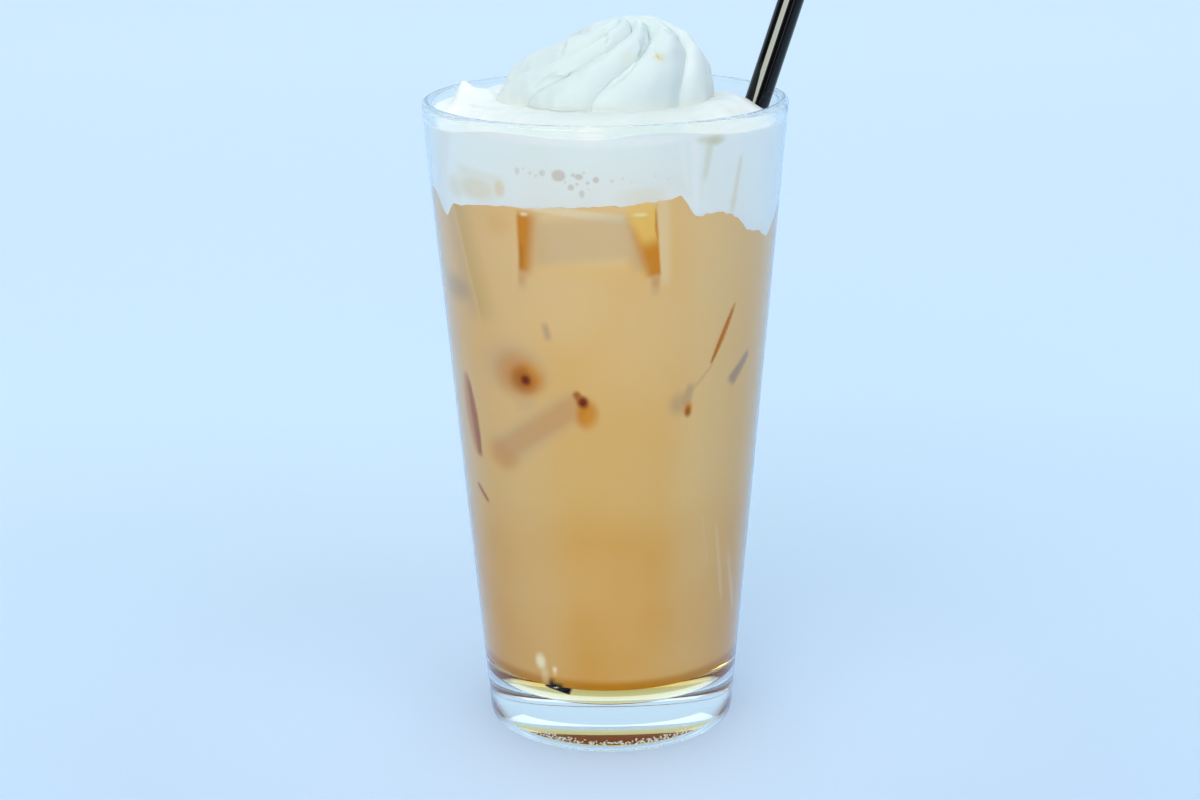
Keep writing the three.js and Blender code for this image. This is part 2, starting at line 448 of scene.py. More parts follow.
heel = heel_curve(heel_width, heel_rise)
lip = arc(
    lip_centre_radius, lip_centre_height, lip_radius,
    -outer_slope, math.pi - cavity_slope, lip_steps,
)
glass_fill = milk_level - fill_gap
glass_profile = np.concatenate([
    dome,
    heel,
    straight(heel[-1], lip[0]),
    lip,
    straight(lip[-1], (cavity_radius(glass_fill), glass_fill)),
    straight((cavity_radius(glass_fill), glass_fill), (fill_middle, glass_fill))[1:4],
])
print("points on the glass's outline", len(glass_profile))

# %% Glass
glass_sides = 1200
glass_index = 1.5
glass_tint = "#f9fdfd"
glass_dew = 0.85
round_angles = ring_angles(glass_sides)
soda_glass = clear_material("pressed_soda_lime_glass", glass_index, 0.0, glass_tint, glass_dew)
dry_glass = clear_material("dry_soda_lime_glass", glass_index, 0.0, glass_tint)
glass = stacked_piece(
    "clear_glass", turned_rings(glass_profile, round_angles),
    (0, 0, dome_height), (0, 0, glass_fill), soda_glass,
)
glass.data.materials.append(dry_glass)
dry = np.zeros(len(glass.data.polygons), np.int32)
underside = slice(0, len(dome) * glass_sides)
underside_pole = slice(-2 * glass_sides, -glass_sides)
dry[underside] = dry[underside_pole] = 1
glass.data.polygons.foreach_set("material_index", dry)
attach(glass, "root")
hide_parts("glass")
print("glass faces", len(glass.data.polygons))

# %% [markdown]
# ## Knurls under the base
#
# The ring that the glass stands on carries tiny knurls. Each one is ground dull by use and
# catches light, so it looks like a white speck from above. One small dome is copied to seeded
# random places of the ring and all copies are one mesh, which is light and quick. The
# photograph shows them on the near side only, and the far side of the ring is smooth.


# %% Knurl specks
def dull_glass_material():
    """Scuffed glass: rough and whitish, it scatters the light that comes in from all sides."""
    material, _ = new_material("scuffed_glass")
    return finished(material, Base_Color=linear("#f2ece2"), Roughness=0.6, IOR=glass_index)


speck_count = 230
speck_sides = 8
speck_sink = 0.02
speck_inner, speck_most, speck_outer = 18.4, 20.8, 22.6
speck_draw = np.random.default_rng(7)
speck_radius = speck_draw.triangular(speck_inner, speck_most, speck_outer, speck_count)
speck_angle = speck_draw.uniform(-2.5, -0.64, speck_count)
speck_size = speck_draw.uniform(0.12, 0.28, speck_count)

speck_rings = turned_rings([(1.0, 0.0), (0.85, 0.6), (0.5, 0.95)], ring_angles(speck_sides))
speck_dome = np.concatenate([speck_rings.reshape(-1, 3), [(0, 0, 0), (0, 0, 1.1)]])
speck_places = around(speck_radius, speck_angle, dome_level(speck_radius) - speck_sink)
speck_points = speck_dome[None] * speck_size[:, None, None] + speck_places[:, None]
speck_faces = stack_faces(len(speck_rings), speck_sides)
specks = mesh_piece(
    "knurl_specks", speck_points.reshape(-1, 3),
    [[c + len(speck_dome) * i for c in face] for i in range(speck_count) for face in speck_faces],
    dull_glass_material(),
)
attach(specks, "root")
print("knurl specks", speck_count)

# %% [markdown]
# ## Levels where cream meets coffee
#
# Cream floats on the coffee. Its lower edge at the wall is almost level in front, and runs down
# in smears on both sides. Stations of angle and level give that edge, and the same stations
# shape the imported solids. Angles are degrees round the axis: -90 is the front.


# %% Easing and blending
def smooth(t):
    """Ease from 0 to 1: three t squared less two t cubed, held at both ends."""
    s = np.clip(t, 0.0, 1.0)
    return s * s * (3 - 2 * s)


def mix(a, b, t):
    """Straight blend: a at t = 0, b at t = 1."""
    return a + (b - a) * t


# %% Edge stations
cream_foot_level = 140.0
cream_foot_inset = 16.0
cream_foot_stations = [
    (-165, 139), (-156, 134), (-149, 137.6), (-126, 139.2), (-90, 140.3), (-72, 141),
    (-66, 142.2), (-60, 136.6), (-50, 137.2), (-43, 134.7), (-34, 130.7), (-22, 128),
    (-8, 134), (30, 138), (75, 141), (120, 138), (160, 140),
]
cream_lip_stations = [
    (-154, 154.8), (-124, 156.8), (-95, 156), (-76, 157.2), (-39, 155), (0, 154.4),
    (60, 154.8), (120, 155.8), (170, 156.8),
]


def level_at(stations, angle):
    """Level round the glass: eased between the stations, which close on themselves."""
    closed = stations + [(stations[0][0] + 360, stations[0][1])]
    degrees, levels = np.array(closed, float).T
    turned = (np.degrees(angle) - degrees[0]) % 360.0 + degrees[0]
    i = np.clip(np.searchsorted(degrees, turned, side="right") - 1, 0, len(stations) - 1)
    share = smooth((turned - degrees[i]) / (degrees[i + 1] - degrees[i]))
    return mix(levels[i], levels[i + 1], share)


print("stations of the cream's edges", len(cream_foot_stations) + len(cream_lip_stations))

# %% Waves of the cream's foot
foot_waves = [(23, 0.4, 0.30), (41, 2.1, 0.22), (67, 4.0, 0.16), (103, 1.2, 0.10), (151, 5.1, 0.07)]
torn_least = 0.35
torn_angle = -45
torn_width = 30


def foot_level(angle):
    """The cream's lower edge: the stations' level plus short waves, stronger at the right.

    Each wave is its count round the glass, its phase and its height in millimetres.
    """
    off = ((np.degrees(angle) - torn_angle + 180) % 360 - 180) / torn_width
    torn = mix(torn_least, 1.0, np.exp(-off * off))
    ragged = sum(rise * np.sin(count * angle + phase) for count, phase, rise in foot_waves)
    return level_at(cream_foot_stations, angle) + torn * ragged


print("waves of the cream's foot", len(foot_waves))

# %% Angles of the drink's rings
content_sides = 400
front_crowding = 0.6
even_angles = ring_angles(content_sides)
content_angles = even_angles - np.pi / 2 - front_crowding * np.sin(even_angles)
wall_reach = 0.15
print("cream's foot starts at", level_at(cream_foot_stations, content_angles).min(), "mm")

# %% [markdown]
# ## Marks on the wall
#
# Much of what shows through the glass lies on the cavity's wall: windows where ice comes close,
# drips of cream, bubbles of foam. Each is a soft bar or an oval at an angle and a height, and a
# surface keeps the strength of its marks as numbers on its points, for the material to read.
# Numbers on points were chosen because they follow the wall from any side.


# %% Bars
def bar(start, end, widths, fades, strength=1.0, belly=0.0):
    """One soft bar down the wall, from an (angle, height) start to a lower end.

    widths are the half widths at both ends, and belly adds to them halfway. fades are how far
    the left side, the right side and the ends fade outwards. All lengths are millimetres.
    """
    return dict(
        start=start, end=end, widths=widths, fades=fades, strength=strength, belly=belly
    )


def across_wall(points, from_angle):
    """Millimetres round the wall from an angle in degrees to each point: angle times radius."""
    angle = np.degrees(np.arctan2(points[..., 1], points[..., 0]))
    radius = np.hypot(points[..., 0], points[..., 1])
    return np.radians((angle - from_angle + 180) % 360 - 180) * radius


def bars_shown(points, bars):
    """Strength of the strongest bar at each point.

    The wall is unrolled. The share of the way down a bar gives its half width there, and what
    lies outside it fades by the smooth step.
    """
    shown = np.zeros(points.shape[:-1])
    for one in bars:
        (first_angle, top), (last_angle, low) = one["start"], one["end"]
        across = across_wall(points, first_angle)
        down = top - points[..., 2]
        run = math.radians(last_angle - first_angle) * cavity_radius((top + low) / 2)
        length = math.hypot(run, top - low)
        along = (across * run + down * (top - low)) / length
        side = (across * (top - low) - down * run) / length
        share = np.clip(along / length, 0, 1)
        half = mix(*one["widths"], share) + one["belly"] * 4 * share * (1 - share)
        left, right, ends = one["fades"]
        sideways = smooth(1 - (np.abs(side) - half) / np.where(side > 0, right, left))
        endways = smooth(1 - np.maximum(-along, along - length) / ends)
        shown = np.maximum(shown, one["strength"] * sideways * endways)
    return shown


# %% Ovals
def ovals_shown(points, ovals, softness):
    """Strength of the strongest oval at each point.

    Each row is an angle, a height, the half width, the half height and the strength. Far is the
    distance in units of the oval, and the rim fades over softness times its size.
    """
    shown = np.zeros(points.shape[:-1])
    for at_angle, at_height, width, rise, strength in ovals:
        across = across_wall(points, at_angle) / width
        far = np.hypot(across, (points[..., 2] - at_height) / rise)
        shown = np.maximum(shown, strength * smooth((1 - far) / softness + 0.5))
    return shown


# %% Marks as numbers on points
def give(piece, name, shown):
    """Store a number for each ring point of a stacked piece, and 0 for its two poles."""
    attribute = piece.data.attributes.new(name, "FLOAT", "POINT")
    attribute.data.foreach_set("value", np.append(shown.ravel(), [0, 0]).astype(np.float32))


def give_marks(piece, rings, marks, until):
    """Give a piece its strongest bar or oval of each kind, and none from ring until on."""
    for name, (_, softness, bars, ovals) in marks.items():
        shown = np.maximum(bars_shown(rings, bars), ovals_shown(rings, ovals, softness))
        shown[until:] = 0.0
        give(piece, name, shown)


def layered(tree, below, marks):
    """Lay the marks' colours over each other, each as far as the numbers on points show it."""
    for name, (colour, *_) in marks.items():
        shown = add(tree, "ShaderNodeAttribute", {"attribute_name": name})
        below = add(
            tree, "ShaderNodeMix", {"data_type": "RGBA"}, Factor=shown.outputs["Fac"],
            _6=below, _7=linear(colour),
        ).outputs[2]
    return below


# %% [markdown]
# ## Ice cubes
#
# Ice is clear, and the milky coffee hides it except where an edge, corner or face comes close
# to the wall. So each cube is placed by where it nearly touches the wall, with its rounded,
# half melted edges just under the drink's skin. They are whole solids, sunk in the drink.


# %% Cubes by an edge
ice_rounding = 1.6


def wall_point(angle_degrees, z):
    """A point on the cavity's wall, in millimetres."""
    return around(cavity_radius(z), math.radians(angle_degrees), z)


def unit(v):
    """A vector of length one."""
    return np.asarray(v, float) / np.linalg.norm(v)


def cube_by_edge(start, end, half, roll=0.0):
    """Centre, axes and half sizes of a cube with one edge along two wall points.

    half is the half size across the edge, and roll turns the cube about that edge in degrees.
    The centre lies inwards by root two times half, less what the rounding takes off the edge.
    """
    a, b = wall_point(*start), wall_point(*end)
    along = unit(b - a)
    middle = (a + b) / 2
    inward = -np.array([middle[0], middle[1], 0.0])
    inward = unit(inward - along * (inward @ along))
    turn = math.radians(roll)
    bisector = inward * math.cos(turn) + np.cross(along, inward) * math.sin(turn)
    other = np.cross(along, bisector)
    return (
        middle + bisector * (math.sqrt(2) * half - ice_rounding * (math.sqrt(2) - 1)),
        np.array([unit(bisector + other), unit(bisector - other), along]),
        np.array([half, half, np.linalg.norm(b - a) / 2 + ice_rounding]),
    )


print("the ice's edges are rounded by", ice_rounding, "mm")


# %% Cubes by a corner or a face
def cube_by_corner(touch, half, spin=0.0, rise=-0.25):
    """The same for a cube with a corner at a wall point and its diagonal pointing inwards.

    The diagonal climbs by rise for each millimetre inwards, and spin turns the cube about it.
    The centre lies inwards by root three times half, less what the rounding takes off.
    """
    corner = wall_point(*touch)
    inward = unit([-corner[0], -corner[1], rise * np.hypot(*corner[:2])])
    helper = unit(np.cross(inward, [0, 0, 1.0]))
    third = np.cross(inward, helper)
    turns = math.radians(spin) + ring_angles(3)[:, None]
    across = helper * np.cos(turns) + third * np.sin(turns)
    return (
        corner + inward * (math.sqrt(3) * half - ice_rounding * (math.sqrt(3) - 1)),
        inward / math.sqrt(3) + across * math.sqrt(2 / 3),
        np.full(3, float(half)),
    )


def cube_by_face(left, right, low, high, depth, lean):
    """The same for a block whose front face spans two wall points, leaned out by some degrees.

    The centre lies half the height up the leaned face and half the depth behind it.
    """
    a, b = wall_point(left, low), wall_point(right, low)
    along = unit([b[0] - a[0], b[1] - a[1], 0.0])
    out = np.array([along[1], -along[0], 0.0])
    turn = math.radians(lean)
    up = np.array([0, 0, 1.0]) * math.cos(turn) + out * math.sin(turn)
    half = np.array([np.linalg.norm(b - a) / 2, depth / 2, (high - low) / 2])
    return (
        (a + b) / 2 + up * half[2] + np.cross(up, along) * half[1],
        np.array([along, np.cross(along, up), up]),
        half,
    )


# %% Places of the cubes
ice_cubes = {
    "ice_front": cube_by_face(-120.2, -73.4, 124.8, 138.0, 22.0, 5.3),
    "ice_left_high": cube_by_edge((-151.0, 138.0), (-144.6, 113.0), 10.0, -30),
    "ice_left_smudge": cube_by_corner((-155.3, 116.7), 8.0, 10),
    "ice_left_low": cube_by_edge((-153.0, 95.0), (-149.0, 75.0), 10.0, -20),
    "ice_middle": cube_by_corner((-121.6, 96.9), 9.0, 25),
    "ice_low": cube_by_edge((-100.0, 92.5), (-136.5, 76.0), 9.0, -14),
    "ice_right": cube_by_edge((-40.1, 113.3), (-49.4, 100.0), 10.0, 6),
    "ice_right_low": cube_by_corner((-59.2, 89.2), 9.0, 50, 0.1),
    "ice_side": cube_by_edge((-29.2, 99.7), (-38.6, 94.1), 8.0),
    "ice_deep": cube_by_edge((-155.0, 66.3), (-147.7, 62.3), 8.0),
    "ice_speck": cube_by_corner((-112.0, 109.5), 8.0, 70),
}
print("cubes placed", len(ice_cubes))

# %% Ice
ice_film = 0.6
ice_cells = 14
ice_index = 1.31
seam_gap = 0.001
clear_ice = clear_material("clear_ice", ice_index, 0.02)


def close_seams(piece):
    """Join points closer than the seam gap and turn every face outwards."""
    work = bmesh.new()
    work.from_mesh(piece.data)
    bmesh.ops.remove_doubles(work, verts=work.verts, dist=seam_gap * MM)
    bmesh.ops.recalc_face_normals(work, faces=work.faces)
    work.to_mesh(piece.data)
    work.free()


def ice_piece(name, centre, axes, half):
    """A rounded box: points of a box are pulled to a core box and pushed out by the rounding.

    Where the box would come through the wall, its points are drawn in to a thin film inside it.
    """
    line = np.linspace(-1, 1, ice_cells + 1)
    u, v = np.meshgrid(line, line, indexing="ij")
    one = np.ones_like(u)
    sheets = [(one, u, v), (-one, v, u), (v, one, u), (u, -one, v), (u, v, one), (v, u, -one)]
    points = np.stack(sheets).transpose(0, 2, 3, 1).reshape(-1, 3) * half
    core = np.clip(points, ice_rounding - half, half - ice_rounding)
    away = points - core
    length = np.maximum(np.linalg.norm(away, axis=-1, keepdims=True), 1e-9)
    points = (core + ice_rounding * away / length) @ axes + centre
    limit = cavity_radius(points[:, 2]) - ice_film
    points[:, :2] *= np.minimum(1.0, limit / np.hypot(points[:, 0], points[:, 1]))[:, None]
    grid = np.arange(u.size).reshape(u.shape)
    quads = np.stack([grid[:-1, :-1], grid[1:, :-1], grid[1:, 1:], grid[:-1, 1:]], -1)
    faces = np.concatenate([quads.reshape(-1, 4) + s * u.size for s in range(len(sheets))])
    piece = mesh_piece(name, points, faces.tolist(), clear_ice)
    close_seams(piece)
    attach(piece, "root")


for name, cube in ice_cubes.items():
    ice_piece(name, *cube)
print("film of coffee over the ice", ice_film, "mm")

# %% [markdown]
# ## Windows on the ice
#
# Where ice nearly touches the glass, the film of coffee is thin. A thick film looks tan, a
# thinner one greyish pink, and where the ice is bare the eye looks into the cube and sees
# amber. Dark brown in its depth is painted shade, and the bright yellow at the tops of some
# windows is painted light from above. The windows lie where the cubes' edges and corners are.
# Two more kinds are drawn in the same way: glints, which are painted highlights, and the
# straw's dark foot.
#
# Each kind of mark has a colour, a softness, its bars and its ovals.

# %% Windows under a thick film
latte_marks = {}
latte_marks["pale"] = ("#f0deb8", 1.6, [
    bar((-109.9, 140), (-110.1, 138.9), (21, 21), (5, 6, 1), 0.55),
    bar((-49, 59.4), (-45.1, 48.3), (0.2, 0.2), (0.5, 0.5, 3), 0.25),
    bar((-40.2, 55.5), (-33.6, 38.3), (0.3, 0.3), (0.7, 0.7, 5), 0.3),
    bar((-29, 45.6), (-21.5, 33.3), (0.3, 0.3), (0.7, 0.7, 4), 0.25),
    bar((-72, 139), (-71, 124), (0.6, 0.4), (0.8, 2.4, 6), 0.3),
    bar((-97, 137.4), (-97, 128), (9, 7), (5, 5, 4), 0.22),
    # The two long faint bars below are painted sheen: they make the milk lighter and greyer away
    # from the middle, as reflections on the glass would.
    bar((-124, 128), (-124, 26), (1, 1), (14, 12, 14), 0.14),
    bar((-50, 134), (-50, 26), (2, 1), (12, 16, 14), 0.16),
], [
    (-112, 116, 14, 9, 0.16), (-70, 108, 12, 12, 0.1),
])
latte_marks["shade"] = ("#c0984e", 1.0, [
    bar((-149.3, 138.4), (-140.6, 112.3), (0.3, 0.3), (0.35, 7, 4), 0.4),
], [])
print("pale bars", len(latte_marks["pale"][2]))

# %% Windows under a thinner film
latte_marks["haze"] = ("#c8a27c", 1.3, [
    bar((-98.8, 135.9), (-97.8, 128.6), (9.5, 10), (3.5, 4, 3), 0.4),
    bar((-116, 137.1), (-117, 126.5), (0.8, 0.6), (0.8, 4.2, 2), 0.35),
    bar((-119.2, 124.6), (-120, 121), (0.7, 0.5), (1.2, 1.6, 3), 0.3),
    bar((-84.5, 137), (-78.6, 126), (0.8, 0.6), (3.4, 1.2, 2), 0.45),
    bar((-73.8, 123.2), (-73.6, 120), (0.6, 0.4), (1.4, 1.2, 2.6), 0.45),
    bar((-103, 91.6), (-134.5, 77.2), (1.2, 1.8), (4.4, 4.4, 4.5), 0.6),
    bar((-152.6, 139), (-143.6, 112.3), (0.6, 0.6), (6, 0.5, 4), 0.4),
    bar((-156, 93), (-153.5, 76), (0.5, 0.5), (3, 1, 3), 0.5, 1),
], [
    (-126.6, 99.4, 7.5, 6, 0.6), (-122, 91.6, 3, 3.2, 0.3),
])
latte_marks["smoke"] = ("#9c7c68", 1.4, [
    bar((-112.2, 110.6), (-111.6, 108.8), (0.1, 0.1), (1.4, 1.4, 2.2), 0.45),
    bar((-30, 99), (-37.6, 94.6), (0.2, 0.7), (1.4, 1.9, 2.4), 0.75),
    bar((-49.7, 99.1), (-58.7, 93.5), (0.1, 0.1), (0.6, 0.6, 1.4), 0.25),
    bar((-58.6, 94.6), (-60.6, 91), (0.3, 0.9), (1.6, 1.2, 2), 0.45),
], [
    (-155.4, 116.5, 6.2, 3, 0.45), (-63.1, 91, 2.4, 2.6, 0.4),
])
print("hazy bars", len(latte_marks["haze"][2]))

# %% Windows of bare ice
latte_marks["amber"] = ("#d47e08", 1.2, [
    bar((-118.7, 136.6), (-119.8, 125.4), (0.9, 0.25), (0.6, 3.8, 3), 0.95),
    bar((-119.9, 125.4), (-120.4, 122), (0.5, 0.3), (0.8, 1.6, 2.2), 0.35),
    bar((-77.2, 138), (-73.4, 124.4), (2.2, 0.7), (3.6, 0.4, 1.8), 0.95),
    bar((-73.5, 124), (-73.5, 121.4), (0.5, 0.3), (1.2, 0.8, 1.8), 0.35),
    bar((-101.6, 94.4), (-99.4, 92), (0.5, 0.9), (1.4, 1, 1.2), 0.75),
    bar((-102.6, 91.4), (-134, 77.8), (1.2, 1.2), (3, 2.6, 4), 0.3),
    bar((-40.1, 113), (-49.4, 100.3), (0.15, 0.15), (0.35, 0.35, 1.2), 1, 0.5),
    bar((-154.4, 94), (-151, 74.8), (0.3, 0.3), (2.2, 0.5, 1.4), 0.85, 1.7),
    bar((-155, 66), (-148, 62.5), (0.2, 0.2), (0.5, 0.5, 0.6), 0.8, 0.4),
], [
    (-121.6, 97.6, 4.6, 4.2, 0.95), (-125, 98, 5.6, 5.2, 0.6), (-98.3, 89.6, 2.5, 3.4, 0.95),
    (-135.4, 76.6, 4.6, 3.6, 0.45), (-59.2, 89.2, 1, 1.6, 0.95), (-128.2, 134.7, 3, 2.6, 0.15),
])
# Painted light: bright yellow where light from above comes in at the tops of the windows.
latte_marks["painted_gold_light"] = ("#f6c264", 1.2, [
    bar((-77.9, 138.4), (-76.2, 134), (2.4, 1.2), (2.8, 0.4, 5), 0.85),
], [
    (-117.6, 99.8, 1.9, 1.9, 0.15), (-96.8, 88.4, 1.4, 2.4, 0.12), (-92.4, 125.4, 10, 2.4, 0.1),
])
# Painted shade: dark brown in the depth of the bare windows, where little light reaches.
latte_marks["deep"] = ("#7a2600", 1.2, [
    bar((-119.6, 130), (-120, 125.6), (0.2, 0.2), (0.5, 0.9, 1.6), 0.2),
    bar((-102, 94.7), (-99.9, 92.9), (0.3, 0.6), (0.8, 0.8, 1), 0.55),
    bar((-152.8, 92), (-149.8, 75.6), (0.2, 0.4), (1.8, 0.5, 2.6), 0.6, 0.4),
    bar((-41.2, 111.6), (-49.2, 100.8), (0.1, 0.1), (0.4, 0.3, 1.5), 0.5),
    bar((-154.6, 65.8), (-148.6, 62.8), (0.1, 0.1), (0.5, 0.5, 0.7), 0.8),
], [
    (-121.5, 97, 1.5, 1.5, 1), (-122.8, 97, 3.2, 3, 0.4), (-99.4, 92.6, 1.2, 1.4, 1),
    (-59.4, 88.7, 0.7, 1.2, 0.6),
])
print("amber bars", len(latte_marks["amber"][2]))

# %% Painted glints and the straw's foot
# The glints are painted highlights: light spots near the straw's foot and at the tops of two
# windows.
latte_marks["glint"] = ("#fff0c4", 1.2, [], [
    (-124.4, 22.8, 1.3, 1.9, 0.8), (-117.1, 21.1, 0.6, 0.9, 0.7),
    (-117.6, 137.9, 0.9, 0.4, 0.6), (-79.2, 138.2, 1.6, 0.4, 0.5), (-122.6, 19.4, 1, 2.6, 0.3),
])
latte_marks["straw_foot"] = ("#10200c", 1.0, [
    bar((-119.2, 17.3), (-115.4, 16.3), (0.5, 0.9), (0.7, 0.7, 1.2), 1),
], [])
print("kinds of marks on the drink", len(latte_marks))

# %% [markdown]
# ## Windows on the far side
#
# Ice nears the glass all round, but the photograph shows the near side alone. The far side
# repeats the softer windows, turned half way round, a little lower and fainter. A repeat was
# chosen because it keeps to forms that the real drink shows.

# %% Far windows
far_turn = 180.0
far_drop = 5.0
far_strength = 0.8


def far_bar(one):
    """The same bar on the far side."""
    (angle, top), (last_angle, low) = one["start"], one["end"]
    return dict(
        one, start=(angle + far_turn, top - far_drop),
        end=(last_angle + far_turn, low - far_drop), strength=far_strength * one["strength"],
    )


def far_oval(angle, height, width, rise, strength):
    """The same oval on the far side."""
    return angle + far_turn, height - far_drop, width, rise, far_strength * strength


for name in ("pale", "haze", "smoke", "amber", "painted_gold_light"):
    colour, softness, bars, ovals = latte_marks[name]
    far_bars = [far_bar(one) for one in bars]
    far_ovals = [far_oval(*one) for one in ovals]
    latte_marks[name] = (colour, softness, bars + far_bars, ovals + far_ovals)
    print(name, "windows on the far side:", len(far_bars) + len(far_ovals))

# %% [markdown]
# ## Latte
#
# Milky coffee is opaque: light enters by a few millimetres and comes back soft and tan. It
# fills the cavity and reaches just into the wall, so that no air shows between them. Its skin
# is a grid of angle and height, closer together in front, where the finest windows are. Faint
# clouds about 22 mm across, 45 to a metre, keep its colour from looking like paint.

# %% Latte material
clouds_per_metre = 45.0
amber_full = 1.0
amber_gone = 3.2


def latte_material():
    """Opaque milky coffee. It is more yellow low down and amber at its foot, next to the syrup."""
    material, tree = new_material("milky_coffee")
    place = add(tree, "ShaderNodeTexCoord")
    split = add(tree, "ShaderNodeSeparateXYZ", Vector=place.outputs["Object"])
    height = add(
        tree, "ShaderNodeMapRange", Value=split.outputs["Z"],
        From_Min=milk_level * MM, From_Max=cream_foot_level * MM,
    )
    tan = add(tree, "ShaderNodeValToRGB", Fac=height.outputs["Result"])
    tan.color_ramp.elements[0].color = linear("#da9b48")
    tan.color_ramp.elements[1].color = linear("#ecb977")
    for share, colour in ((0.32, "#dea353"), (0.4, "#e2ad63"), (0.7, "#e8b26a")):
        tan.color_ramp.elements.new(share).color = linear(colour)
    cloud = add(
        tree, "ShaderNodeTexNoise", Vector=place.outputs["Object"], Scale=clouds_per_metre,
        Detail=2.0, Roughness=0.5,
    )
    cloud_share = add(
        tree, "ShaderNodeMapRange", Value=cloud.outputs["Fac"], From_Min=0.4, From_Max=0.7,
        To_Max=0.25,
    )
    cloudy = add(
        tree, "ShaderNodeMix", {"data_type": "RGBA"}, Factor=cloud_share.outputs["Result"],
        _6=tan.outputs["Color"], _7=linear("#e8bc80"),
    )
    bottom = add(
        tree, "ShaderNodeMapRange", {"interpolation_type": "SMOOTHSTEP"},
        Value=split.outputs["Z"], From_Min=(milk_level + amber_full) * MM,
        From_Max=(milk_level + amber_gone) * MM, To_Min=1.0, To_Max=0.0,
    )
    drink = add(
        tree, "ShaderNodeMix", {"data_type": "RGBA"}, Factor=bottom.outputs["Result"],
        _6=cloudy.outputs[2], _7=linear("#c47c08"),
    )
    marked = layered(tree, drink.outputs[2], latte_marks)
    return finished(material, Base_Color=marked, Roughness=0.5, Specular_IOR_Level=0.0)


print("amber reaches", amber_gone, "mm up into the milk")


# %% Latte surface
def foot_points(out, reach, lift):
    """Rings between latte and cream: out is a column of shares, 0 in the middle, 1 at the wall.

    The level is flat in the middle and eases to the foot's edge over the inset next to the
    wall. reach carries the rings into the wall, and lift raises them.
    """
    inset = 1 - (1 - out) * cavity_radius(cream_foot_level) / cream_foot_inset
    z = mix(cream_foot_level, foot_level(content_angles), smooth(inset)) + lift
    return around(out * (cavity_radius(z) + reach), content_angles, z)


milk_edge = 0.4
milk_edge_steps = 5
milk_low = milk_level - wall_reach
milk_radius = cavity_radius(milk_level) + wall_reach
latte_corner = np.concatenate([
    [(milk_radius - 3 * milk_edge, milk_low)],
    arc(
        milk_radius - milk_edge, milk_low + milk_edge, milk_edge,
        -math.pi / 2, -cavity_slope, milk_edge_steps,
    ),
])
fine_from = 60.0
low_count = 40
low_rows = np.linspace(latte_corner[-1, 1], fine_from, low_count)[1:]
low_profile = np.stack([cavity_radius(low_rows) + wall_reach, low_rows], -1)
low_rings = turned_rings(np.concatenate([latte_corner, low_profile]), content_angles)
high_count = 190
high_share = np.arange(1, high_count + 1)[:, None] / high_count
high_z = mix(fine_from, foot_level(content_angles), high_share)
high_rings = around(cavity_radius(high_z) + wall_reach, content_angles, high_z)
latte_sink = 0.6
latte_shares = np.array([[0.97], [0.9], [0.75], [0.5], [0.25]])
top_rings = foot_points(latte_shares, wall_reach, -latte_sink)
latte_rings = np.concatenate([low_rings, high_rings, top_rings])
print("rings of the latte", len(latte_rings))

# %% Latte
latte = stacked_piece(
    "milky_latte", latte_rings, (0, 0, milk_low), (0, 0, cream_foot_level - latte_sink),
    latte_material(),
)
give_marks(latte, latte_rings, latte_marks, -len(top_rings))
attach(latte, "root")
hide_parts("latte")
print("latte faces", len(latte.data.polygons))

# %% [markdown]
# ## Settled syrup
#
# Below the milk lies a thin clear layer of settled syrup, in which the light from behind can
# be seen. It is turned like the glass. Its yellow deepens with the way through it, so it comes
# from a volume and not from a painted skin.

# %% Settled syrup
syrup_index = 1.42


def syrup_material():
    """Clear sugar syrup. Its yellow comes from depth, so it is an absorbing volume.

    It is wholly sunk in glass, so its index is that of syrup over that of glass.
    """
    material = clear_material("settled_sugar_syrup", syrup_index / glass_index, 0.0)
    tree = material.node_tree
    depth = add(
        tree, "ShaderNodeVolumeAbsorption", Color=(1.0, 0.74, 0.0, 1.0), Density=100.0
    )
    tree.links.new(depth.outputs[0], tree.nodes["Material Output"].inputs["Volume"])
    return material


syrup_bend = 0.6
syrup_steps = 12
syrup_gap = 0.1
syrup_corner = arc(
    cavity_bottom_radius - syrup_bend, floor_thickness + syrup_bend, syrup_bend,
    -math.pi / 2, -cavity_slope, syrup_steps,
)
syrup_top = milk_level - syrup_gap
syrup_profile = np.concatenate([
    [(8.0, floor_thickness), (20.0, floor_thickness)],
    syrup_corner,
    [(cavity_radius(syrup_top), syrup_top)],
])
syrup = stacked_piece(
    "settled_syrup", turned_rings(syrup_profile, round_angles),
    (0, 0, floor_thickness), (0, 0, syrup_top), syrup_material(),
)
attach(syrup, "root")
print("syrup layer", milk_level - floor_thickness, "mm deep")

# %% [markdown]
# ## Whipped cream
#
# The cream was piped: a nozzle turned once while it was lifted, so soft folds wind down from
# the apex. A disc of rays can be bent to follow those folds: every ray keeps to one fold, and
# the rays turn together as they run down. Heights are then a dome, lowered in the valleys
# between folds. Outside the swirl lies the shelf, and it bends down to the wall.

# %% Shelf of cream
shelf_level = 159.4
shelf_drop_at_straw = 2.0
shelf_drop_angle = 45.0
shelf_drop_width = 40.0
shelf_drop_start = 12.0
shelf_drop_reach = 16.0
swirl_radius = 26.8
raised_cream = [(-34.4, 2.0, 2.4, 4.2), (-29.5, 0.5, 3.6, 1.8), (-37.0, -9.0, 3.4, 1.8)]


def raised_height(x, y):
    """Small heaps on the shelf, each a bell curve. A row is its place, width and height."""
    height = np.zeros_like(x)
    for at_x, at_y, width, rise in raised_cream:
        height = height + rise * np.exp(-((x - at_x) ** 2 + (y - at_y) ** 2) / width**2)
    return height


